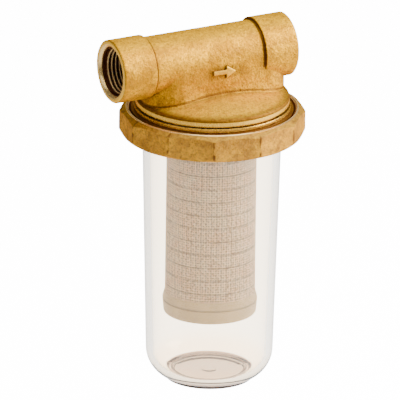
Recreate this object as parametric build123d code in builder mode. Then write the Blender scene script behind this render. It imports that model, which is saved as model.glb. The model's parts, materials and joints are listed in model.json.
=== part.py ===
"""Magnetic system filter: brass head with two threaded ports, ring nut, clear bowl and magnetic cartridge.

Millimetres, +Z up. The origin is the centre of the bowl's foot, on the bowl's axis. The ports run along X.
"""

from build123d import *
from math import atan2, degrees
import os

os.makedirs("parts", exist_ok=True)

# Ports: G 1/2 parallel pipe thread, 20.955 mm major diameter
port_z = 142.6
port_r = 10.48
port_depth = 15.0
port_chamfer = 0.9
edge_match = 0.01
collar_chamfer = 0.5
inlet_x = -48.05
outlet_x = 33.87
collar_r = 13.5
collar_length = 15.2
tube_r = 12.35
passage_r = 8.5

# Head below the tube
waist_length = 64.2
flare_rise = (0, 1.0, 2.4, 4.2, 6.2)
flare_reach = (2.6, 1.55, 0.8, 0.3, 0)
arrow_x = -0.9
arrow_z = port_z - 3.3
arrow_length = 10.4
arrow_head_length = 4.4
arrow_head_height = 5.6
arrow_shaft_height = 1.9
arrow_relief = 0.7
dome_top_z = port_z - 12.4
dome_mid_z = port_z - 13.9
dome_edge_z = port_z - 17.0
dome_mid_r = 16.0
rim_r = 32.4
rim_round = 1.4
rim_bottom_z = port_z - 20.6
step_r = 31.6
step_bottom_z = port_z - 21.2
shoulder_r = 33.0
shoulder_bottom_z = port_z - 23.4
skirt_z = port_z - 29.0
skirt_inner_r = 26.4
chamber_top_z = port_z - 19.5
inlet_drop_x = -20.9
inlet_drop_r = 5.2
inlet_drop_spread = 6.0
inlet_wall_x = -13.5

# Socket in the head that takes the cartridge
socket_r = 12.0
boss_r = 15.5
boss_z = port_z - 28.0
spigot_clearance = 0.05

# Neck thread between the head and the ring nut
neck_crest_r = 34.1
nut_crest_r = 34.2
thread_groove_width = 1.6
thread_groove_side = 1.2
neck_pitch = 2.0
neck_turns = 2
neck_first_z = port_z - 25.2
nut_turns = 3

# Ring nut
nut_sides = 12
nut_corner_r = 39.12
nut_turned = 4.5
nut_top_z = port_z - 22.7
nut_bottom_z = port_z - 34.04
nut_bevel_r = 35.8
nut_bevel_slope = 0.66
nut_foot_r = 37.6
nut_foot_slope = 0.9
nut_mouth_r = 35.7
nut_mouth_z = port_z - 24.2
nut_lip_r = 29.9

# Bowl, slip ring and seal
flange_r = 33.6
flange_bottom_z = port_z - 31.6
slip_ring_thickness = 0.8
bowl_top_r = 29.35
bowl_base_r = 26.25
bowl_base_z = -0.2
bowl_corner = 13.0
bowl_inner_top_r = 26.4
bowl_inner_base_r = 23.4
bowl_floor_z = 3.0
bowl_inner_corner = 9.5
floor_ring_outer_r = 17.9
floor_ring_inner_r = 16.0
foot_outer_r = 18.4
foot_inner_r = 15.4
foot_recess_z = 0.9
gate_r = 3.0
seal_mid_r = 30.5
seal_section_r = 1.25
seal_groove_depth = 2.2
seal_corner = 0.9

# Cartridge
cap_r = 19.85
cap_bottom_z = port_z - 113.3
cap_lip_z = port_z - 106.7
cap_skirt_z = port_z - 103.7
cap_skirt_lip = 0.15
cap_draft = 0.5
cap_corner = 1.4
cap_floor_thickness = 2.2
cap_groove_depth = 0.45
cap_groove_top = 0.2
cap_groove_floor = 0.7
cap_groove_bottom = 0.9
mesh_r = 18.9
mesh_thickness = 0.4
cage_thickness = 1.5
cage_ring_pitch = 5.85
cage_ring_height = 1.3
cage_ribs = 12
cage_rib_width = 1.8
cage_rib_step = 0.2
cage_seat = 0.2
collar_top_z = boss_z
collar_thickness = 4.0
collar_bottom_z = port_z - 38.5
spigot_top_z = port_z - 20.4
spigot_bore_r = 8.3
spigot_groove_z = port_z - 24.2
spigot_groove_depth = 1.6
spigot_groove_height = 2.4
spigot_chamfer = 0.6
collar_seal_play = 0.4
collar_seal_corner = 0.75
seal_bulge = 0.03

# Magnet core and its sheath
sheath_r = 8.0
sheath_wall = 1.0
sheath_top_z = port_z - 44.0
sheath_flange_r = 10.5
sheath_flange_thickness = 1.2
sheath_round = 2.0
core_hole_r = 7.5
plug_r = 7.44
plug_head_r = 9.6
plug_head_thickness = 1.6
plug_top_z = port_z - 107.2
plug_gap = 0.1
plug_groove_depth = 1.2
plug_groove_height = 1.8
plug_groove_rise = 3.4
plug_seal_height = 1.6
plug_seal_corner = 0.5
knob_r = 3.6
knob_z = port_z - 117.2
magnet_r = 6.8
magnet_hole_r = 2.1
magnet_height = 11.0
magnet_count = 4
pole_height = 2.5
pole_chamfer = 0.3
rod_r = 2.0
rod_end = 0.8
rod_chamfer = 0.4
core_nut_size = 7.0
core_nut_height = 3.2
washer_r = 3.6
washer_thickness = 0.6


def save(part, name):
    """Label one finished piece and write its STEP file."""
    part.label = name
    export_step(part, f"parts/{name}.step")


# Head casting: tube, collars, waist and domed flange in one brass casting
with BuildPart() as head_casting:
    with BuildSketch(Plane.YZ.offset(inlet_x)) as tube_end:
        with Locations((0, port_z)):
            Circle(tube_r)
    extrude(amount=outlet_x - inlet_x)
    with BuildSketch(Plane.YZ.offset(inlet_x)) as inlet_collar:
        with Locations((0, port_z)):
            Circle(collar_r)
    extrude(amount=collar_length)
    with BuildSketch(Plane.YZ.offset(outlet_x)) as outlet_collar:
        with Locations((0, port_z)):
            Circle(collar_r)
    extrude(amount=-collar_length)
    with BuildSketch(Plane.XY.offset(dome_edge_z)) as waist:
        SlotOverall(waist_length, 2 * tube_r)
    extrude(amount=port_z - dome_edge_z)
    # the waist's concave foot, in tapered steps
    for step, start in enumerate(flare_rise[:-1]):
        lost_length = 2 * (flare_reach[0] - flare_reach[step])
        height = flare_rise[step + 1] - start
        narrowing = flare_reach[step] - flare_reach[step + 1]
        with BuildSketch(Plane.XY.offset(dome_edge_z + start)) as waist_foot:
            SlotOverall(waist_length - lost_length, 2 * (tube_r + flare_reach[step]))
        extrude(amount=height, taper=degrees(atan2(narrowing, height)))
    with BuildSketch(Plane.XZ) as flange_profile:
        with BuildLine() as flange_outline:
            ThreePointArc((0, dome_top_z), (dome_mid_r, dome_mid_z), (rim_r - rim_round, dome_edge_z))
            RadiusArc((rim_r - rim_round, dome_edge_z), (rim_r, dome_edge_z - rim_round), rim_round)
            Polyline(
                (rim_r, dome_edge_z - rim_round),
                (rim_r, rim_bottom_z),
                (step_r, rim_bottom_z),
                (step_r, step_bottom_z),
                (shoulder_r, step_bottom_z),
                (shoulder_r, shoulder_bottom_z),
                (neck_crest_r, shoulder_bottom_z),
                (neck_crest_r, skirt_z),
                (0, skirt_z),
                (0, dome_top_z),
            )
        make_face()
    revolve(axis=Axis.Z)
    # the chamber round the socket boss, and the socket itself
    with BuildSketch(Plane.XZ) as chamber_profile:
        with BuildLine() as chamber_outline:
            Polyline(
                (0, skirt_z),
                (skirt_inner_r, skirt_z),
                (skirt_inner_r, chamber_top_z),
                (boss_r, chamber_top_z),
                (boss_r, boss_z),
                (socket_r, boss_z),
                (socket_r, chamber_top_z),
                (passage_r, chamber_top_z),
                (passage_r, port_z),
                (0, port_z),
                close=True,
            )
        make_face()
    revolve(axis=Axis.Z, mode=Mode.SUBTRACT)
    with Locations((0, 0, port_z)):
        Sphere(passage_r, mode=Mode.SUBTRACT)
    # outlet passage from the socket, inlet passage down to the chamber
    with BuildSketch(Plane.YZ) as outlet_passage:
        with Locations((0, port_z)):
            Circle(passage_r)
    extrude(amount=outlet_x, mode=Mode.SUBTRACT)
    with BuildSketch(Plane.YZ.offset(inlet_wall_x)) as inlet_passage:
        with Locations((0, port_z)):
            Circle(passage_r)
    extrude(amount=inlet_x - inlet_wall_x, mode=Mode.SUBTRACT)
    with BuildSketch(Plane.XY.offset(port_z)) as inlet_drop:
        with Locations((inlet_drop_x, 0)):
            SlotCenterToCenter(inlet_drop_spread, 2 * inlet_drop_r, rotation=90)
    extrude(amount=chamber_top_z - port_z, mode=Mode.SUBTRACT)
    # the two threaded ports, bored to the thread's major diameter
    with BuildSketch(Plane.YZ.offset(inlet_x)) as inlet_bore:
        with Locations((0, port_z)):
            Circle(port_r)
    extrude(amount=port_depth, mode=Mode.SUBTRACT)
    with BuildSketch(Plane.YZ.offset(outlet_x)) as outlet_bore:
        with Locations((0, port_z)):
            Circle(port_r)
    extrude(amount=-port_depth, mode=Mode.SUBTRACT)
    port_mouths = head_casting.edges().filter_by(GeomType.CIRCLE).filter_by(
        lambda edge: abs(edge.radius - port_r) < edge_match and edge.center().X in (inlet_x, outlet_x)
    )
    chamfer(port_mouths, port_chamfer)
    collar_ends = head_casting.edges().filter_by(GeomType.CIRCLE).filter_by(
        lambda edge: abs(edge.radius - collar_r) < edge_match and edge.center().X in (inlet_x, outlet_x)
    )
    chamfer(collar_ends, collar_chamfer)
    # raised arrow on the front of the waist, from the inlet to the outlet
    with BuildSketch(Plane.XZ.offset(tube_r - arrow_relief)) as flow_arrow:
        with BuildLine() as arrow_outline:
            Polyline(
                (arrow_x - arrow_length / 2, arrow_z - arrow_shaft_height / 2),
                (arrow_x + arrow_length / 2 - arrow_head_length, arrow_z - arrow_shaft_height / 2),
                (arrow_x + arrow_length / 2 - arrow_head_length, arrow_z - arrow_head_height / 2),
                (arrow_x + arrow_length / 2, arrow_z),
                (arrow_x + arrow_length / 2 - arrow_head_length, arrow_z + arrow_head_height / 2),
                (arrow_x + arrow_length / 2 - arrow_head_length, arrow_z + arrow_shaft_height / 2),
                (arrow_x - arrow_length / 2, arrow_z + arrow_shaft_height / 2),
                close=True,
            )
        make_face()
    extrude(amount=2 * arrow_relief)
    # groove for the bowl seal in the skirt's underside
    with BuildSketch(Plane.XY.offset(skirt_z)) as seal_groove:
        Circle(seal_mid_r + seal_section_r)
        Circle(seal_mid_r - seal_section_r, mode=Mode.SUBTRACT)
    extrude(amount=seal_groove_depth, mode=Mode.SUBTRACT)
    # neck thread, as rings at the thread's pitch
    with BuildSketch(Plane.XZ) as neck_thread:
        with Locations(*[(neck_crest_r, neck_first_z - neck_pitch * turn) for turn in range(neck_turns)]):
            Triangle(a=thread_groove_width, b=thread_groove_side, c=thread_groove_side, rotation=-90)
    revolve(axis=Axis.Z, mode=Mode.SUBTRACT)
save(head_casting.part, "head_casting")

# Ring nut: a turned and threaded bore in a many-sided cast ring
with BuildPart() as ring_nut:
    with BuildSketch(Plane.XY.offset(nut_bottom_z)) as nut_flats:
        RegularPolygon(nut_corner_r, nut_sides, rotation=nut_turned)
    extrude(amount=nut_top_z - nut_bottom_z)
    with BuildSketch(Plane.XZ) as nut_envelope:
        with BuildLine() as envelope_outline:
            Polyline(
                (0, nut_bottom_z),
                (nut_foot_r, nut_bottom_z),
                (nut_corner_r, nut_bottom_z + nut_foot_slope * (nut_corner_r - nut_foot_r)),
                (nut_corner_r, nut_top_z - nut_bevel_slope * (nut_corner_r - nut_bevel_r)),
                (nut_bevel_r, nut_top_z),
                (0, nut_top_z),
                close=True,
            )
        make_face()
    revolve(axis=Axis.Z, mode=Mode.INTERSECT)
    with BuildSketch(Plane.XZ) as nut_bore:
        with BuildLine() as bore_outline:
            Polyline(
                (0, nut_bottom_z),
                (nut_lip_r, nut_bottom_z),
                (nut_lip_r, flange_bottom_z - slip_ring_thickness),
                (nut_crest_r, flange_bottom_z - slip_ring_thickness),
                (nut_crest_r, nut_mouth_z),
                (nut_mouth_r, nut_top_z),
                (0, nut_top_z),
                close=True,
            )
        make_face()
        with Locations(*[(nut_crest_r, neck_first_z - neck_pitch * turn) for turn in range(nut_turns)]):
            Triangle(a=thread_groove_width, b=thread_groove_side, c=thread_groove_side, rotation=90)
    revolve(axis=Axis.Z, mode=Mode.SUBTRACT)
save(ring_nut.part, "ring_nut")

# Slip ring: the washer that lets the nut turn against the bowl's flange
with BuildPart() as slip_ring:
    with BuildSketch(Plane.XY.offset(flange_bottom_z - slip_ring_thickness)) as slip_section:
        Circle(flange_r)
        Circle(nut_lip_r, mode=Mode.SUBTRACT)
    extrude(amount=slip_ring_thickness)
save(slip_ring.part, "slip_ring")

# Bowl: one clear moulding with a clamping flange, a rounded base and a foot ring
with BuildPart() as bowl:
    with BuildSketch(Plane.XZ) as bowl_shell:
        with BuildLine() as bowl_outline:
            Polyline(
                (0, skirt_z),
                (bowl_top_r, skirt_z),
                (bowl_base_r, bowl_base_z),
                (0, bowl_base_z),
                close=True,
            )
        make_face()
        fillet(bowl_shell.vertices().sort_by(Axis.Y)[:2].sort_by(Axis.X)[-1], bowl_corner)
    revolve(axis=Axis.Z)
    with BuildSketch(Plane.XY.offset(flange_bottom_z)) as bowl_flange:
        Circle(flange_r)
    extrude(amount=skirt_z - flange_bottom_z)
    with BuildSketch(Plane.XY) as bowl_foot:
        Circle(foot_outer_r)
    extrude(amount=bowl_corner)
    with BuildSketch(Plane.XY.offset(bowl_base_z)) as base_trim:
        Circle(bowl_base_r)
    extrude(amount=-bowl_base_z, mode=Mode.SUBTRACT)
    with BuildSketch(Plane.XY) as foot_recess:
        Circle(foot_inner_r)
        Circle(gate_r, mode=Mode.SUBTRACT)
    extrude(amount=foot_recess_z, mode=Mode.SUBTRACT)
    with BuildSketch(Plane.XZ) as bowl_space:
        with BuildLine() as space_outline:
            Polyline(
                (0, skirt_z),
                (bowl_inner_top_r, skirt_z),
                (bowl_inner_base_r, bowl_floor_z),
                (0, bowl_floor_z),
                close=True,
            )
        make_face()
        fillet(bowl_space.vertices().sort_by(Axis.Y)[:2].sort_by(Axis.X)[-1], bowl_inner_corner)
    revolve(axis=Axis.Z, mode=Mode.SUBTRACT)
    # flat ring round the edge of the floor, with a small step up to the wall
    with BuildSketch(Plane.XY.offset(bowl_floor_z)) as floor_ring:
        Circle(floor_ring_outer_r)
        Circle(floor_ring_inner_r, mode=Mode.SUBTRACT)
    extrude(amount=bowl_inner_corner, mode=Mode.SUBTRACT)
save(bowl.part, "bowl")

# Seal between the bowl and the head, squeezed flat on the bowl's rim
with BuildPart() as bowl_seal:
    with BuildSketch(Plane.XZ) as seal_section:
        with Locations((seal_mid_r, skirt_z + seal_groove_depth / 2)):
            RectangleRounded(2 * seal_section_r, seal_groove_depth, seal_corner)
    revolve(axis=Axis.Z)
save(bowl_seal.part, "bowl_seal")

# Cartridge collar: the spigot that plugs into the head, over the rim that holds the mesh
collar_mid_z = collar_top_z - collar_thickness
cage_r = mesh_r - mesh_thickness
with BuildPart() as cartridge_collar:
    with BuildSketch(Plane.XZ) as collar_profile:
        with BuildLine() as collar_outline:
            Polyline(
                (spigot_bore_r, spigot_top_z),
                (socket_r - spigot_clearance, spigot_top_z),
                (socket_r - spigot_clearance, collar_top_z),
                (cap_r, collar_top_z),
                (cap_r, collar_bottom_z),
                (mesh_r, collar_bottom_z),
                (mesh_r, collar_mid_z),
                (spigot_bore_r, collar_mid_z),
                close=True,
            )
        make_face()
        with Locations((socket_r - spigot_clearance, spigot_groove_z)):
            Rectangle(2 * spigot_groove_depth, spigot_groove_height, mode=Mode.SUBTRACT)
    revolve(axis=Axis.Z)
    chamfer(cartridge_collar.edges().group_by(Axis.Z)[-1].sort_by(SortBy.RADIUS)[-1], spigot_chamfer)
save(cartridge_collar.part, "cartridge_collar")

with BuildPart() as collar_seal:
    collar_seal_mid_r = socket_r - spigot_clearance - (spigot_groove_depth - seal_bulge) / 2
    collar_seal_width = spigot_groove_depth + seal_bulge
    collar_seal_height = spigot_groove_height - collar_seal_play
    with BuildSketch(Plane.XZ) as collar_seal_section:
        with Locations((collar_seal_mid_r, spigot_groove_z)):
            RectangleRounded(collar_seal_width, collar_seal_height, collar_seal_corner)
    revolve(axis=Axis.Z)
save(collar_seal.part, "collar_seal")

# Cage: rings and ribs that hold the mesh open from inside
cage_bottom_z = cap_lip_z + cage_seat
cage_top_z = collar_mid_z
cage_rings = int((cage_top_z - cage_bottom_z) / cage_ring_pitch) + 1
with BuildPart() as cartridge_cage:
    for turn in range(cage_rings):
        with BuildSketch(Plane.XY.offset(cage_bottom_z + cage_ring_pitch * turn)) as cage_ring:
            Circle(cage_r)
            Circle(cage_r - cage_thickness, mode=Mode.SUBTRACT)
        extrude(amount=cage_ring_height)
    with BuildSketch(Plane.XY.offset(cage_bottom_z)) as cage_ribs_section:
        with PolarLocations(cage_r - (cage_thickness + cage_rib_step) / 2, cage_ribs):
            Rectangle(cage_thickness - cage_rib_step, cage_rib_width)
    extrude(amount=cage_top_z - cage_bottom_z)
save(cartridge_cage.part, "cartridge_cage")

with BuildPart() as mesh_sleeve:
    with BuildSketch(Plane.XY.offset(cage_bottom_z)) as mesh_section:
        Circle(mesh_r)
        Circle(cage_r, mode=Mode.SUBTRACT)
    extrude(amount=cage_top_z - cage_bottom_z)
save(mesh_sleeve.part, "mesh_sleeve")

# Cap: closes the cartridge and carries the magnet sheath
cap_floor_z = cap_bottom_z + cap_floor_thickness
with BuildPart() as cartridge_cap:
    with BuildSketch(Plane.XZ) as cap_profile:
        with BuildLine() as cap_outline:
            Polyline(
                (core_hole_r, cap_bottom_z),
                (cap_r - cap_draft, cap_bottom_z),
                (cap_r, cap_lip_z - cap_groove_bottom),
                (cap_r - cap_groove_depth, cap_lip_z - cap_groove_floor),
                (cap_r - cap_groove_depth, cap_lip_z - cap_groove_top),
                (cap_r, cap_lip_z),
                (mesh_r + cap_skirt_lip, cap_skirt_z),
                (mesh_r, cap_skirt_z),
                (mesh_r, cage_bottom_z),
                (cage_r - cage_thickness, cage_bottom_z),
                (cage_r - cage_thickness, cap_floor_z),
                (core_hole_r, cap_floor_z),
                close=True,
            )
        make_face()
        fillet(cap_profile.vertices().group_by(Axis.Y)[0].sort_by(Axis.X)[-1], cap_corner)
    revolve(axis=Axis.Z)
save(cartridge_cap.part, "cartridge_cap")

# Sheath: the dry pocket that keeps the magnets out of the water
with BuildPart() as magnet_sheath:
    with BuildSketch(Plane.XY.offset(cap_floor_z)) as sheath_foot:
        Circle(sheath_flange_r)
    extrude(amount=sheath_flange_thickness)
    with BuildSketch(Plane.XY.offset(cap_floor_z)) as sheath_tube:
        Circle(sheath_r)
    extrude(amount=sheath_top_z - cap_floor_z)
    fillet(magnet_sheath.edges().group_by(Axis.Z)[-1], sheath_round)
    with BuildSketch(Plane.XY.offset(cap_floor_z)) as sheath_space:
        Circle(sheath_r - sheath_wall)
    extrude(amount=sheath_top_z - cap_floor_z - sheath_wall, mode=Mode.SUBTRACT)
    with BuildSketch(Plane.XY.offset(cap_floor_z)) as plug_socket:
        Circle(core_hole_r)
    extrude(amount=plug_top_z - cap_floor_z, mode=Mode.SUBTRACT)
save(magnet_sheath.part, "magnet_sheath")

# Magnet plug: closes the sheath from below and carries the magnets' rod
plug_seal_z = cap_bottom_z + plug_groove_rise
with BuildPart() as magnet_plug:
    with BuildSketch(Plane.XZ) as plug_profile:
        with BuildLine() as plug_outline:
            Polyline(
                (0, knob_z),
                (knob_r, knob_z),
                (knob_r, cap_bottom_z - plug_head_thickness),
                (plug_head_r, cap_bottom_z - plug_head_thickness),
                (plug_head_r, cap_bottom_z),
                (plug_r, cap_bottom_z),
                (plug_r, plug_top_z - plug_gap),
                (rod_r, plug_top_z - plug_gap),
                (rod_r, cap_bottom_z),
                (0, cap_bottom_z),
                close=True,
            )
        make_face()
        with Locations((plug_r, plug_seal_z)):
            Rectangle(2 * plug_groove_depth, plug_groove_height, mode=Mode.SUBTRACT)
    revolve(axis=Axis.Z)
save(magnet_plug.part, "magnet_plug")

with BuildPart() as plug_seal:
    with BuildSketch(Plane.XZ) as plug_seal_section:
        with Locations((plug_r - plug_groove_depth / 2 + seal_bulge, plug_seal_z)):
            RectangleRounded(plug_groove_depth, plug_seal_height, plug_seal_corner)
    revolve(axis=Axis.Z)
save(plug_seal.part, "plug_seal")

# Magnet stack: ring magnets between steel pole discs on one rod
stack_z = plug_top_z
with BuildPart() as magnet_rod:
    stack_height = magnet_count * magnet_height + (magnet_count + 1) * pole_height
    rod_top_z = stack_z + stack_height + washer_thickness + core_nut_height + rod_end
    with BuildSketch(Plane.XY.offset(cap_bottom_z)) as rod_section:
        Circle(rod_r)
    extrude(amount=rod_top_z - cap_bottom_z)
    chamfer(magnet_rod.edges().group_by(Axis.Z)[-1], rod_chamfer)
save(magnet_rod.part, "magnet_rod")

for index in range(magnet_count + 1):
    pole_z = stack_z + index * (pole_height + magnet_height)
    with BuildPart() as pole_disc:
        with BuildSketch(Plane.XY.offset(pole_z)) as pole_section:
            Circle(magnet_r)
            Circle(rod_r, mode=Mode.SUBTRACT)
        extrude(amount=pole_height)
        chamfer(pole_disc.edges().filter_by(GeomType.CIRCLE).sort_by(SortBy.RADIUS)[-2:], pole_chamfer)
    save(pole_disc.part, f"pole_disc_{index + 1}")

for index in range(magnet_count):
    magnet_z = stack_z + pole_height + index * (pole_height + magnet_height)
    with BuildPart() as ring_magnet:
        with BuildSketch(Plane.XY.offset(magnet_z)) as magnet_section:
            Circle(magnet_r)
            Circle(magnet_hole_r, mode=Mode.SUBTRACT)
        extrude(amount=magnet_height)
    save(ring_magnet.part, f"ring_magnet_{index + 1}")

washer_z = stack_z + stack_height
with BuildPart() as core_washer:
    with BuildSketch(Plane.XY.offset(washer_z)) as washer_section:
        Circle(washer_r)
        Circle(magnet_hole_r, mode=Mode.SUBTRACT)
    extrude(amount=washer_thickness)
save(core_washer.part, "core_washer")

with BuildPart() as core_nut:
    with BuildSketch(Plane.XY.offset(washer_z + washer_thickness)) as core_nut_section:
        RegularPolygon(core_nut_size / 2, 6, major_radius=False)
        Circle(rod_r, mode=Mode.SUBTRACT)
    extrude(amount=core_nut_height)
save(core_nut.part, "core_nut")
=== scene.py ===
import json
from math import cos, pi, radians, sin

import bmesh
import bpy
from mathutils import Matrix, Vector


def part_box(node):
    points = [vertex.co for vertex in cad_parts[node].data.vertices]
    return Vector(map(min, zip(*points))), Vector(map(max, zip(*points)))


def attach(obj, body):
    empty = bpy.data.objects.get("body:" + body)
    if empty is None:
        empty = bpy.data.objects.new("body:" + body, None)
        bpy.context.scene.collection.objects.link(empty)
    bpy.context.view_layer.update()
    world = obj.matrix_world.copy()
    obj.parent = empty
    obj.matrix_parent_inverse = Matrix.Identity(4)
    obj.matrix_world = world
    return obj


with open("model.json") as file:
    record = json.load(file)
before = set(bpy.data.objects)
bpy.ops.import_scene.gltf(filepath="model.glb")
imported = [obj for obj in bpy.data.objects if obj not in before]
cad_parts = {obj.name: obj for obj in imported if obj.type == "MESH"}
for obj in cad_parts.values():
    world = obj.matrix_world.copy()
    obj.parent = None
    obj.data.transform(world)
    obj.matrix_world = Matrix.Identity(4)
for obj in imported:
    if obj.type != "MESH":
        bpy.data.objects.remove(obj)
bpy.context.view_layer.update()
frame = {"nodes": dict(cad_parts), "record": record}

# ---------------------------------------------------------------- sizes, metres
MM = 0.001
mounts = {m["name"]: m for m in frame["record"]["mounts"]}
inlet = mounts["inlet"]
outlet = mounts["outlet"]
port_z = inlet["pos_m"][2]
port_r = inlet["dims"]["r_mm"] * MM
port_length = inlet["dims"]["length_mm"] * MM
thread_pitch = 1.814 * MM
thread_depth = 1.10 * MM

# the head
inlet_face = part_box("head_casting")[0].x
outlet_face = outlet["pos_m"][0] + 0.9 * MM
collar_length = 15.2 * MM
collar_r = 13.5 * MM
arrow_y = -13.05 * MM
arrow_z = port_z - 3.3 * MM
rim_z = port_z - 18.6 * MM
neck_z = port_z - 22.5 * MM
waist_half = 12.35 * MM
dome_top_z = port_z - 12.4 * MM
dome_drop = 4.6 * MM
dome_reach = 31.0 * MM
dome_radius = (dome_reach ** 2 + dome_drop ** 2) / (2 * dome_drop)
dome_centre_z = dome_top_z - dome_radius

# the ring nut
nut_top_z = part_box("ring_nut")[1].z
nut_mouth_r = 35.7 * MM
nut_sides = 12
nut_corner_angle = 4.5

# the mesh and the bowl
band_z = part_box("cartridge_cage")[0].z + 0.65 * MM
foot_outer_r = 18.4 * MM
foot_inner_r = 15.4 * MM
floor_outer_r = 17.9 * MM
floor_inner_r = 16.0 * MM
foot_tint_z = 5.2 * MM

# how strong the stains, the dull tone, the grime and the painted shade are, 0 to 1
head_shade_and_grime = 0.75
head_stained = 0.35
# painted shade on the nut's bevel
nut_bevel_shade = 0.27
nut_stained = 0.675
nut_dull = 0.34

# the view: an orthographic camera on the inlet's side
view_azimuth = -27.24
view_elevation = 20.36
view_roll = -0.75
view_width = 0.16757
view_right = -0.00543
view_up = -0.0608
camera_distance = 0.8

# the floor, and how bright the studio looks to the camera, through the bowl and to all else
floor_z = -0.09
floor_size = 6.0
floor_glow = 14.0
bowl_glow = 5.8
room_light = 0.13

# brass colours, linear
deep_brass = (0.66, 0.29, 0.0, 1.0)
bright_brass = (1.0, 0.49, 0.0, 1.0)
# painted shade: the brass of faces that point up, and of the flange's top
top_shade_brass = (0.80, 0.47, 0.0, 1.0)
flange_shade_brass = (0.84, 0.54, 0.02, 1.0)
dark_mottle = (0.52, 0.25, 0.01, 1.0)
light_mottle = (1.0, 0.60, 0.04, 1.0)
dull_brass = (0.52, 0.27, 0.09, 1.0)
dark_grain = (0.32, 0.14, 0.0, 1.0)
brown_stain = (0.19, 0.082, 0.032, 1.0)
turned_brass = (1.0, 0.58, 0.08, 1.0)
# the dark brown of the bores and the nut's thread, also used for painted shade
oxide_and_shade_brown = (0.085, 0.026, 0.009, 1.0)
# painted highlight
highlight_brass = (1.0, 0.73, 0.34, 1.0)

# bowl colours
bowl_body = (0.94, 0.865, 0.75, 1.0)
bowl_foot = (0.42, 0.31, 0.22, 1.0)
bowl_corner = (0.97, 0.78, 0.54, 1.0)
# painted shade: the bowl's brown rim and dark edge bands
bowl_rim_shade = (0.34, 0.24, 0.17, 1.0)
bowl_edge_shade = (0.07, 0.035, 0.02, 1.0)

# mesh colours
wire_brown = (1.0, 0.67, 0.37, 1.0)
wire_tan = (1.0, 0.79, 0.48, 1.0)
wire_glint = (1.0, 0.84, 0.66, 1.0)
wire_speck = (0.45, 0.27, 0.14, 1.0)
# painted shade: the weave's gaps and the stripes along the cage
mesh_gap_shade = (0.20, 0.11, 0.055, 1.0)
mesh_line_shade = (0.13, 0.07, 0.035, 1.0)


# ---------------------------------------------------------------- node helpers
class Graph:
    """A small wrapper round one node tree."""

    def __init__(self, tree):
        self.tree = tree

    def node(self, kind, inputs=None, **settings):
        made = self.tree.nodes.new(kind)
        for key, value in settings.items():
            setattr(made, key, value)
        for key, value in (inputs or {}).items():
            self.link(made.inputs[key], value)
        return made

    def link(self, socket, value):
        if isinstance(value, bpy.types.NodeSocket):
            self.tree.links.new(value, socket)
        else:
            socket.default_value = value

    def math(self, operation, first, second=0.0, third=0.0, clamp=False):
        made = self.tree.nodes.new("ShaderNodeMath")
        made.operation = operation
        made.use_clamp = clamp
        for socket, value in zip(made.inputs, (first, second, third)):
            self.link(socket, value)
        return made.outputs[0]

    def times(self, first, second):
        return self.math("MULTIPLY", first, second)

    def larger(self, first, second):
        return self.math("MAXIMUM", first, second)

    def absolute(self, value):
        return self.math("ABSOLUTE", value)

    def inverse(self, mask):
        return self.math("SUBTRACT", 1.0, mask)

    def glow(self, other):
        """Full white to the camera, softer through the clear bowl, and other for all remaining light."""
        paths = self.node("ShaderNodeLightPath").outputs
        mirrored = self.math("MULTIPLY_ADD", self.math("MINIMUM", paths["Glossy Depth"], 1.0), -0.6, 1.0)
        scattered = self.math("MULTIPLY_ADD", self.math("MINIMUM", paths["Diffuse Depth"], 1.0), -0.7, 1.0)
        through = self.times(paths["Is Transmission Ray"], self.times(mirrored, scattered))
        through = self.math("MULTIPLY_ADD", through, bowl_glow, other)
        return self.math("MULTIPLY_ADD", paths["Is Camera Ray"], floor_glow, through)


class Shader(Graph):
    """One material's node tree."""

    def __init__(self, name):
        self.material = bpy.data.materials.new(name)
        self.material.use_nodes = True
        super().__init__(self.material.node_tree)
        self.surface = self.tree.nodes["Principled BSDF"]
        self.coords = self.tree.nodes.new("ShaderNodeTexCoord").outputs["Object"]
        self.bump_normal = None

    def noise(self, scale, detail=3.0, roughness=0.55, stretch=None):
        coords = self.coords
        if stretch:
            coords = self.node("ShaderNodeMapping", {"Vector": coords, "Scale": stretch}).outputs[0]
        inputs = {"Vector": coords, "Scale": scale, "Detail": detail, "Roughness": roughness}
        return self.node("ShaderNodeTexNoise", inputs).outputs["Fac"]

    def ramp(self, value, low, high):
        """Value taken from low..high to 0..1, smoothly."""
        inputs = {"Value": value, "From Min": low, "From Max": high}
        return self.node("ShaderNodeMapRange", inputs, interpolation_type="SMOOTHSTEP").outputs["Result"]

    def mix(self, factor, first, second):
        made = self.node("ShaderNodeMix", data_type="RGBA")
        self.link(made.inputs["Factor"], factor)
        self.link(made.inputs["A"], first)
        self.link(made.inputs["B"], second)
        return made.outputs["Result"]

    def set(self, **values):
        for name, value in values.items():
            self.link(self.surface.inputs[name.replace("_", " ")], value)

    def bump(self, height, strength, distance):
        inputs = {"Height": height, "Strength": strength, "Distance": distance}
        made = self.node("ShaderNodeBump", inputs)
        if self.bump_normal:
            self.link(made.inputs["Normal"], self.bump_normal)
        self.bump_normal = made.outputs[0]
        self.link(self.surface.inputs["Normal"], self.bump_normal)

    def xyz(self):
        return self.node("ShaderNodeSeparateXYZ", {"Vector": self.coords}).outputs

    def radius(self):
        """Distance from the bowl's axis."""
        x, y, _ = self.xyz()
        squares = self.math("ADD", self.times(x, x), self.times(y, y))
        return self.math("SQRT", squares)

    def normals(self):
        coords = self.node("ShaderNodeTexCoord").outputs["Normal"]
        return self.node("ShaderNodeSeparateXYZ", {"Vector": coords}).outputs


def rgb(red, green, blue):
    """An sRGB colour, 0 to 255, as the linear colour that a shader takes."""
    parts = [c / 255 for c in (red, green, blue)]
    linear = [p / 12.92 if p <= 10 / 255 else ((p + 0.055) / 1.055) ** 2.4 for p in parts]
    return (*linear, 1.0)


def shade_of(colour, part):
    """The same colour at part of its brightness."""
    return tuple(part * c for c in colour[:3]) + (1.0,)


def dress(node, material):
    """Give one CAD node a material."""
    mesh = frame["nodes"][node].data
    mesh.materials.clear()
    mesh.materials.append(material)


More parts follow.
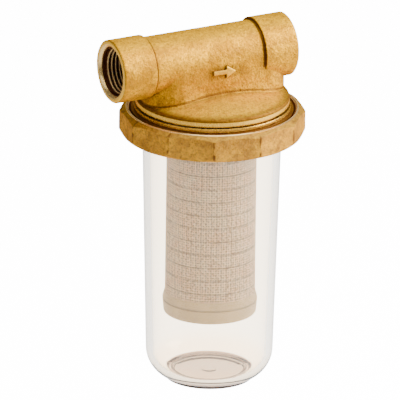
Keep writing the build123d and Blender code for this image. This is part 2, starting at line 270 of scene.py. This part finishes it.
# ---------------------------------------------------------------- materials
def brass(name, regions):
    """Sand-cast brass, mottled and grainy; regions gives the masks of its turned, stained and dark places and
    its painted highlights. Painted shade darkens its hollows, and faces that point up take a darker tint
    against the top lamp.
    """
    shader = Shader(name)
    blotch = shader.noise(90.0, 4.0, 0.6)
    stain = shader.noise(260.0, 6.0, 0.78)
    grain = shader.noise(1500.0, 2.0, 0.6)
    mottle = shader.noise(820.0, 4.0, 0.7)
    pits = shader.noise(520.0, 3.0, 0.7)
    turned, oxide_and_shade, stained, soft_edge, pale, dull = regions(shader)
    shader.bump_normal = shader.node("ShaderNodeBevel", {"Radius": soft_edge}, samples=6).outputs[0]
    warm = shader.mix(shader.ramp(blotch, 0.40, 0.62), deep_brass, bright_brass)
    # painted shade: faces that point up take a darker, yellower brass against the top lamp, the flange's top
    # a lighter, yellower one
    upward = shader.ramp(shader.normals()[2], 0.7, 0.95)
    warm = shader.mix(shader.times(upward, 0.6), warm, top_shade_brass)
    low = shader.ramp(shader.xyz()[2], port_z - 12.0 * MM, port_z - 15.0 * MM)
    flange_top_shade = shader.times(upward, shader.times(low, 0.85))
    warm = shader.mix(flange_top_shade, warm, flange_shade_brass)
    warm = shader.mix(shader.times(shader.ramp(mottle, 0.54, 0.34), 0.8), warm, dark_mottle)
    warm = shader.mix(shader.times(shader.ramp(mottle, 0.54, 0.70), 0.6), warm, light_mottle)
    warm = shader.mix(dull, warm, dull_brass)
    cast = shader.mix(shader.times(shader.ramp(grain, 0.48, 0.75), 0.7), warm, dark_grain)
    cast = shader.mix(shader.times(shader.ramp(stain, 0.42, 0.70), stained), cast, brown_stain)
    # painted shade: ambient occlusion darkens corners, hollows and the places under the collars, in the same
    # dark brown
    fine = shader.node("ShaderNodeAmbientOcclusion", {"Distance": 1.7 * MM}, samples=6).outputs["AO"]
    broad = shader.node("ShaderNodeAmbientOcclusion", {"Distance": 7.0 * MM}, samples=6).outputs["AO"]
    crease_shade = shader.larger(shader.ramp(fine, 0.94, 0.6), shader.ramp(broad, 0.82, 0.38))
    oxide_and_shade = shader.larger(oxide_and_shade, shader.times(crease_shade, 0.92))
    colour = shader.mix(oxide_and_shade, shader.mix(turned, cast, turned_brass), oxide_and_shade_brown)
    # painted highlight: paler brass on the port mouths, the thread crests and the nut's lip
    colour = shader.mix(pale, colour, highlight_brass)
    rough = shader.math("MULTIPLY_ADD", grain, 0.25, 0.44)
    smoothed = shader.times(turned, 0.34)
    shader.set(Base_Color=colour, Metallic=0.78, Specular_Tint=(1.0, 0.55, 0.12, 1.0))
    shader.link(shader.surface.inputs["Roughness"], shader.math("SUBTRACT", rough, smoothed))
    sand = shader.inverse(turned)
    shader.bump(shader.times(pits, sand), 0.8, 0.0006)
    shader.bump(shader.times(grain, sand), 0.8, 0.0002)
    return shader.material


def nut_regions(shader):
    """The nut's turned lip with a painted highlight, painted shade on its bevel, its dark thread, its worn
    corners and its evenly stained flats.
    """
    x, y, z = shader.xyz()
    radius = shader.radius()
    bevel = shader.ramp(shader.normals()[2], 0.3, 0.5)
    inside = shader.ramp(radius, nut_mouth_r + 0.1 * MM, nut_mouth_r - 0.1 * MM)
    oxide_and_shade = shader.times(inside, shader.ramp(z, nut_top_z - 0.1 * MM, nut_top_z - 0.6 * MM))
    angle = shader.math("ARCTAN2", y, x)
    from_corner = shader.math("SUBTRACT", angle, radians(nut_corner_angle))
    corner = shader.ramp(shader.math("COSINE", shader.times(from_corner, nut_sides)), 0.975, 1.0)
    worn = shader.times(corner, shader.ramp(shader.noise(260.0, 3.0, 0.7), 0.38, 0.6))
    outside = shader.inverse(inside)
    lip = shader.times(shader.ramp(radius, nut_mouth_r + 0.75 * MM, nut_mouth_r + 0.45 * MM),
                       shader.ramp(z, nut_top_z - 0.7 * MM, nut_top_z - 0.5 * MM))
    # painted shade: the bevel, which faces up, is darkened outside the lip
    bevel = shader.times(bevel, shader.inverse(lip))
    bevel = shader.times(bevel, nut_bevel_shade)
    corner_dark = shader.times(shader.times(worn, outside), 0.75)
    corner_dark = shader.larger(corner_dark, bevel)
    oxide_and_shade = shader.larger(shader.times(oxide_and_shade, 0.95), corner_dark)
    # the lip's paler brass is a painted highlight
    return lip, oxide_and_shade, nut_stained, 0.3 * MM, shader.times(lip, 0.8), nut_dull


def dome_height(shader):
    """Height above the flange's domed top, which is close to one sphere."""
    x, y, z = shader.xyz()
    rise = shader.math("SUBTRACT", z, dome_centre_z)
    squares = shader.math("MULTIPLY_ADD", x, x, shader.times(y, y))
    reach = shader.math("SQRT", shader.math("MULTIPLY_ADD", rise, rise, squares))
    return shader.math("SUBTRACT", reach, dome_radius)


def head_regions(shader):
    """The head's turned faces and rings, its dark bores, painted shade in the gap between the flange rings
    and the nut, beside the collar steps, where the waist meets the domed top, above the rim and round the
    arrow, grime and painted shade under the inlet arm, and painted highlights on the port mouths and thread
    crests.
    """
    x, y, z = shader.xyz()
    ends = shader.larger(shader.ramp(x, inlet_face + 0.25 * MM, inlet_face + 0.1 * MM),
                         shader.ramp(x, outlet_face - 0.25 * MM, outlet_face - 0.1 * MM))
    rings = shader.times(shader.ramp(z, rim_z + 0.2 * MM, rim_z - 0.1 * MM),
                         shader.ramp(z, neck_z, neck_z + 0.2 * MM))
    arrow = shader.times(shader.ramp(y, arrow_y + 0.5 * MM, arrow_y + 0.2 * MM),
                         shader.ramp(shader.absolute(x), 8.0 * MM, 7.5 * MM))
    arrow = shader.times(arrow, shader.ramp(z, port_z - 8.0 * MM, port_z - 7.5 * MM))
    turned = shader.larger(ends, shader.times(rings, 0.85))
    turned = shader.larger(turned, shader.times(arrow, 0.4))
    # painted shade in the gap between the flange rings and the nut, darkest where it shows above the nut
    exposed = shader.ramp(z, nut_top_z - 2.5 * MM, nut_top_z - 1.0 * MM)
    neck_gap_shade = shader.times(shader.ramp(z, neck_z + 0.2 * MM, neck_z - 0.2 * MM),
                        shader.math("MULTIPLY_ADD", exposed, 0.63, 0.25))
    rise = shader.math("SUBTRACT", z, port_z)
    across = shader.math("SQRT", shader.math("ADD", shader.times(y, y), shader.times(rise, rise)))
    # painted shade: a dark line on the tube beside each collar's step
    step = 0.0
    for step_x in (inlet_face + collar_length, outlet_face - collar_length):
        off_step = shader.absolute(shader.math("SUBTRACT", x, step_x))
        step = shader.larger(step, shader.ramp(off_step, 1.5 * MM, 0.9 * MM))
    step = shader.times(step, shader.ramp(across, collar_r - 0.3 * MM, collar_r - 0.6 * MM))
    step = shader.times(step, 0.85)
    mouth = shader.larger(shader.ramp(x, inlet_face + 1.3 * MM, inlet_face + 1.1 * MM),
                          shader.ramp(x, outlet_face - 1.3 * MM, outlet_face - 1.1 * MM))
    mouth = shader.times(mouth, shader.ramp(across, port_r + 1.5 * MM, port_r + 1.2 * MM))
    turned = shader.larger(turned, mouth)
    bore = shader.ramp(across, port_r + 0.35 * MM, port_r + 0.15 * MM)
    bore = shader.times(bore, shader.inverse(mouth))
    crest = shader.times(shader.ramp(across, port_r - 0.7 * MM, port_r - 1.0 * MM),
                         shader.ramp(across, port_r - thread_depth * 1.25, port_r - thread_depth * 1.1))
    web = shader.times(shader.ramp(z, port_z - 4.0 * MM, port_z - 9.0 * MM),
                       shader.ramp(z, rim_z + 0.6 * MM, rim_z + 2.0 * MM))
    soft_edge = shader.math("MULTIPLY_ADD", web, 0.9 * MM, 0.9 * MM)
    height = dome_height(shader)
    # painted shade along the line where the waist meets the domed top
    foot = shader.times(shader.ramp(height, 1.5 * MM, 0.7 * MM), shader.ramp(height, 0.05 * MM, 0.3 * MM))
    beside_waist = shader.ramp(shader.absolute(y), waist_half + 2.7 * MM, waist_half + 1.4 * MM)
    foot = shader.times(foot, beside_waist)
    # painted shade in a band just above the flange's rim
    rim_shade = shader.times(shader.ramp(z, rim_z + 2.3 * MM, rim_z + 1.2 * MM),
                            shader.ramp(z, rim_z - 0.1 * MM, rim_z + 0.3 * MM))
    # dark grime and painted shade on the lower waist on the inlet's side, under its arm
    soot_and_shade = shader.times(shader.ramp(x, -6.0 * MM, -20.0 * MM),
                        shader.ramp(z, port_z - 8.0 * MM, port_z - 12.0 * MM))
    soot_and_shade = shader.times(soot_and_shade, shader.ramp(shader.noise(230.0, 4.0, 0.7), 0.42, 0.66))
    soot_and_shade = shader.times(soot_and_shade, shader.ramp(z, rim_z, rim_z + 0.5 * MM))
    # painted shade round the raised arrow, not on the arrow itself
    arrow_shade = shader.times(shader.ramp(shader.absolute(x), 9.4 * MM, 7.4 * MM),
                        shader.ramp(shader.absolute(shader.math("SUBTRACT", z, arrow_z)), 3.6 * MM, 1.6 * MM))
    arrow_shade = shader.times(arrow_shade, shader.ramp(y, -10.0 * MM, -11.0 * MM))
    arrow_shade = shader.math("MULTIPLY", arrow_shade, shader.math("SUBTRACT", 0.5, arrow), clamp=True)
    # the painted shade and the grime, at one strength
    darkening = shader.larger(shader.larger(foot, rim_shade), shader.times(soot_and_shade, 0.55))
    darkening = shader.larger(darkening, arrow_shade)
    darkening = shader.times(darkening, head_shade_and_grime)
    # painted highlight: the bores are less dark on the thread crests
    bore = shader.times(bore, shader.math("MULTIPLY_ADD", crest, -0.3, 1.0))
    oxide_and_shade = shader.larger(shader.larger(neck_gap_shade, bore), shader.larger(step, darkening))
    # painted highlight on the port mouths and the thread crests
    pale = shader.larger(shader.times(mouth, 0.6), shader.times(crest, 0.75))
    return turned, oxide_and_shade, head_stained, soft_edge, pale, 0.0


def clear_plastic():
    """Clear moulding, a little warm: tan through its thick foot, with painted shade in bands along the foot's
    edge rings and a brown rim where it turns away.
    """
    shader = Shader("clear_plastic")
    drift = shader.noise(60.0, 2.0)
    _, _, z = shader.xyz()
    radius = shader.radius()
    low = shader.ramp(z, foot_tint_z, foot_tint_z - 2.0 * MM)
    rim = shader.node("ShaderNodeLayerWeight", {"Blend": 0.5}).outputs["Facing"]
    thick = shader.times(low, shader.ramp(radius, foot_outer_r * 1.03, foot_outer_r))
    corner = shader.times(shader.ramp(z, 14.0 * MM, 4.0 * MM),
                          shader.ramp(radius, foot_outer_r, foot_outer_r * 1.05))
    # painted shade: dark bands along the foot's and the floor's edge rings, low down
    edge_shade = 0.0
    # each edge's radius, the reach of its line and the height of its top, the last two in millimetres
    for edge_r, reach, top in ((foot_outer_r, 1.3, 2.0), (foot_inner_r, 0.7, 1.6), (floor_outer_r, 0.55, 4.8),
                               (floor_inner_r, 0.45, 4.0)):
        off_edge = shader.absolute(shader.math("SUBTRACT", radius, edge_r))
        near = shader.times(shader.ramp(off_edge, reach * MM, reach * 0.5 * MM),
                            shader.ramp(z, top * MM, (top - 0.3) * MM))
        edge_shade = shader.larger(edge_shade, near)
    edge_shade = shader.times(edge_shade, 0.95)
    tint = shader.mix(thick, bowl_body, bowl_foot)
    tint = shader.mix(shader.times(corner, 0.9), tint, bowl_corner)
    # painted shade: a brown rim where the surface turns away, darker and wider low down
    tint = shader.mix(shader.times(shader.ramp(rim, 0.88, 1.0), 0.7), tint, bowl_rim_shade)
    outline_shade = shader.times(shader.ramp(rim, 0.74, 0.96), shader.ramp(z, 13.0 * MM, 5.0 * MM))
    edge_shade = shader.larger(edge_shade, shader.times(outline_shade, 0.9))
    tint = shader.mix(edge_shade, tint, bowl_edge_shade)
    shader.set(Base_Color=tint, IOR=1.46, Transmission_Weight=1.0)
    shader.link(shader.surface.inputs["Roughness"], shader.math("MULTIPLY_ADD", drift, 0.04, 0.0))
    shader.bump(drift, 0.04, 0.0004)
    return shader.material


def plastic(name, colour, roughness=0.45):
    """Moulded plastic, a little cloudy, with painted shade in its tight corners."""
    shader = Shader(name)
    cloud = shader.noise(140.0, 3.0)
    fine = shader.noise(1800.0, 2.0)
    darker = shade_of(colour, 0.82)
    # painted shade: ambient occlusion darkens the tight corners
    shade = shader.node("ShaderNodeAmbientOcclusion", {"Distance": 0.8 * MM}, samples=6).outputs["AO"]
    moulded = shader.mix(shader.ramp(cloud, 0.3, 0.75), darker, colour)
    darkening = shade_of(colour, 0.25)
    shader.set(Base_Color=shader.mix(shader.ramp(shade, 0.85, 0.45), moulded, darkening))
    shader.link(shader.surface.inputs["Roughness"], shader.math("MULTIPLY_ADD", fine, 0.2, roughness - 0.1))
    shader.bump(fine, 0.25, 0.00015)
    return shader.material


def woven_mesh():
    """Fine square-woven wire over a coarse grid: stiffer wires lengthwise and a band at each cage ring, both
    darkened as painted shade, with painted shade in the gaps and painted glints on the wire.
    """
    shader = Shader("woven_mesh")
    x, y, z = shader.xyz()
    angle = shader.math("ARCTAN2", y, x)
    warp_count = 112
    weft_pitch = 1.05 * MM
    rib_count = 56
    band_pitch = 5.85 * MM
    warp = shader.math("SINE", shader.times(angle, warp_count))
    weft = shader.math("SINE", shader.times(z, 2 * pi / weft_pitch))
    over = shader.times(shader.math("SINE", shader.times(angle, warp_count / 2)),
                        shader.math("SINE", shader.times(z, pi / weft_pitch)))
    height = shader.math("ADD", shader.larger(warp, weft), shader.times(over, 0.5))
    gap = shader.ramp(height, 0.25, -0.55)
    from_band = shader.math("SUBTRACT", z, band_z)
    rib = shader.math("COSINE", shader.times(angle, rib_count))
    band = shader.math("COSINE", shader.times(from_band, 2 * pi / band_pitch))
    broken = shader.noise(420.0, 3.0, 0.65)
    blotch = shader.noise(150.0, 3.0, 0.6)
    # painted shade: dark stripes along the cage's ribs and at each cage ring
    shade_lines = shader.larger(shader.times(shader.ramp(rib, 0.3, 0.9), 0.42),
                          shader.times(shader.ramp(band, 0.86, 0.97), 0.7))
    shade_lines = shader.times(shade_lines, shader.ramp(broken, 0.25, 0.6))
    wire = shader.mix(shader.ramp(blotch, 0.3, 0.7), wire_brown, wire_tan)
    speck = shader.noise(1300.0, 2.0, 0.6)
    wire = shader.mix(shader.ramp(speck, 0.55, 0.75), wire, wire_glint)
    wire = shader.mix(shader.ramp(speck, 0.5, 0.32), wire, wire_speck)
    # painted shade in the weave's gaps, which are also partly clear
    wire = shader.mix(gap, wire, mesh_gap_shade)
    shader.set(Base_Color=shader.mix(shade_lines, wire, mesh_line_shade), Metallic=0.2, Roughness=0.6)
    shader.link(shader.surface.inputs["Alpha"], shader.inverse(shader.times(gap, 0.35)))
    shader.bump(height, 0.5, 0.00025)
    shader.bump(rib, 0.35, 0.0003)
    return shader.material


def rubber():
    """Black seal rubber."""
    shader = Shader("rubber_seal")
    fine = shader.noise(900.0, 2.0)
    shader.set(Base_Color=shader.mix(fine, (0.012, 0.012, 0.013, 1.0), (0.035, 0.035, 0.038, 1.0)))
    shader.link(shader.surface.inputs["Roughness"], shader.math("MULTIPLY_ADD", fine, 0.25, 0.4))
    shader.bump(fine, 0.2, 0.0001)
    return shader.material


def turned_metal(name, colour, roughness=0.28):
    """Turned or drawn steel: fine rings round the axis and a little tarnish."""
    shader = Shader(name)
    rings = shader.noise(1.0, 2.0, 0.5, stretch=(200.0, 200.0, 4000.0))
    cloud = shader.noise(160.0, 3.0)
    darker = shade_of(colour, 0.75)
    shader.set(Base_Color=shader.mix(shader.ramp(cloud, 0.35, 0.7), darker, colour), Metallic=1.0)
    shader.link(shader.surface.inputs["Roughness"], shader.math("MULTIPLY_ADD", rings, 0.25, roughness - 0.1))
    shader.bump(rings, 0.15, 0.0001)
    return shader.material


head_brass = brass("cast_brass", head_regions)
dress("head_casting", head_brass)
dress("ring_nut", brass("nut_brass", nut_regions))
dress("bowl", clear_plastic())
dress("slip_ring", plastic("nylon", rgb(232, 228, 216)))
ivory = plastic("ivory_plastic", rgb(224, 194, 140))
for node in ("cartridge_collar", "cartridge_cage", "cartridge_cap"):
    dress(node, ivory)
dress("mesh_sleeve", woven_mesh())
seal_rubber = rubber()
for node in ("bowl_seal", "collar_seal", "plug_seal"):
    dress(node, seal_rubber)
dress("magnet_sheath", turned_metal("sheath_steel", rgb(200, 200, 198)))
dress("magnet_plug", plastic("dark_plastic", rgb(58, 58, 62), 0.5))
bright_steel = turned_metal("steel", rgb(190, 190, 190))
for node in ("magnet_rod", "core_washer", "core_nut"):
    dress(node, bright_steel)
pole_steel = turned_metal("pole_steel", rgb(160, 160, 164), 0.35)
nickel = turned_metal("magnet", rgb(214, 212, 206), 0.2)
for node in frame["nodes"]:
    if node.startswith("pole_disc"):
        dress(node, pole_steel)
    if node.startswith("ring_magnet"):
        dress(node, nickel)


# ---------------------------------------------------------------- port threads
def helix_thread(name, start_x, direction):
    """One helical ridge inside a port: a closed sweep that fades out at both ends."""
    turns = (port_length - thread_pitch) / thread_pitch
    steps_per_turn = 72
    steps = int(turns * steps_per_turn)
    sunk = 0.06 * MM
    root = port_r + sunk
    fade_steps = steps_per_turn * 0.35
    least_depth = 0.02
    half_root = 0.47 * thread_pitch
    half_crest = 0.10 * thread_pitch
    mesh = bmesh.new()
    rows = []
    for step in range(steps + 1):
        angle = 2 * pi * step / steps_per_turn
        fade = min(1.0, step / fade_steps, (steps - step) / fade_steps)
        crest = root - sunk - thread_depth * max(fade, least_depth)
        centre = start_x + direction * (thread_pitch * 0.5 + thread_pitch * step / steps_per_turn)
        row = []
        for along, r in ((-half_root, root), (-half_crest, crest), (half_crest, crest), (half_root, root)):
            row.append(mesh.verts.new((centre + along, r * cos(angle), port_z + direction * r * sin(angle))))
        rows.append(row)
    for before, after in zip(rows, rows[1:]):
        for i in range(4):
            j = (i + 1) % 4
            mesh.faces.new((before[i], before[j], after[j], after[i]))
    mesh.faces.new(rows[0][::-1])
    mesh.faces.new(rows[-1])
    bmesh.ops.recalc_face_normals(mesh, faces=mesh.faces)
    data = bpy.data.meshes.new(name)
    mesh.to_mesh(data)
    mesh.free()
    piece = bpy.data.objects.new(name, data)
    bpy.context.collection.objects.link(piece)
    data.materials.append(head_brass)
    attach(piece, "head")


helix_thread("inlet_thread", inlet["pos_m"][0], 1.0)
helix_thread("outlet_thread", outlet["pos_m"][0], -1.0)


# ---------------------------------------------------------------- camera, floor and light
def axes(azimuth, elevation, roll):
    """The camera's right, up and back directions."""
    a, e, r = radians(azimuth), radians(elevation), radians(roll)
    back = Vector((sin(a) * cos(e), -cos(a) * cos(e), sin(e)))
    right = Vector((cos(a), sin(a), 0.0))
    up = back.cross(right)
    return right * cos(r) - up * sin(r), right * sin(r) + up * cos(r), back


right, up, back = axes(view_azimuth, view_elevation, view_roll)
target = Vector((0.0, 0.0, port_z)) + right * view_right + up * view_up
camera_data = bpy.data.cameras.new("camera")
camera_data.type = "ORTHO"
camera_data.ortho_scale = view_width
camera_data.clip_start = 0.01
camera_data.clip_end = 10.0
camera = bpy.data.objects.new("camera", camera_data)
turn = Matrix((right, up, back)).transposed().to_4x4()
camera.matrix_world = Matrix.Translation(target + back * camera_distance) @ turn
bpy.context.collection.objects.link(camera)
bpy.context.scene.camera = camera


def floor():
    """A wide pale sheet below the object, low enough to leave room for the bowl when it is dropped."""
    bpy.ops.mesh.primitive_plane_add(size=floor_size, location=(0.0, 0.0, floor_z))
    plane = bpy.context.object
    plane.name = "floor"
    shader = Shader("floor")
    paper = shader.noise(3.0)
    shader.set(Base_Color=shader.mix(paper, (0.93, 0.93, 0.93, 1.0), (0.96, 0.96, 0.96, 1.0)), Roughness=0.7)
    shader.set(Emission_Color=(1.0, 1.0, 1.0, 1.0))
    shader.link(shader.surface.inputs["Emission Strength"], shader.glow(0.0))
    plane.data.materials.append(shader.material)


def area_light(name, azimuth, elevation, distance, size, power):
    """A square soft box that faces the middle of the object."""
    data = bpy.data.lights.new(name, "AREA")
    data.shape = "SQUARE"
    data.size = size
    data.energy = power
    light = bpy.data.objects.new(name, data)
    _, _, toward = axes(azimuth, elevation, 0.0)
    middle = Vector((0.0, 0.0, port_z * 0.6))
    light.location = middle + toward * distance
    light.rotation_euler = toward.to_track_quat("Z", "Y").to_euler()
    bpy.context.collection.objects.link(light)


floor()
area_light("key", azimuth=60.0, elevation=28.0, distance=0.9, size=0.6, power=19.5)
area_light("fill", azimuth=-85.0, elevation=30.0, distance=1.0, size=0.5, power=1.8)
area_light("top", azimuth=0.0, elevation=74.0, distance=1.0, size=0.9, power=11.0)
area_light("back", azimuth=155.0, elevation=48.0, distance=1.0, size=0.8, power=3.0)

world = bpy.data.worlds.new("studio")
bpy.context.scene.world = world
world.use_nodes = True
backdrop = world.node_tree.nodes["Background"]
backdrop.inputs["Color"].default_value = (1.0, 1.0, 1.0, 1.0)
studio = Graph(world.node_tree)
studio.link(backdrop.inputs["Strength"], studio.glow(room_light))
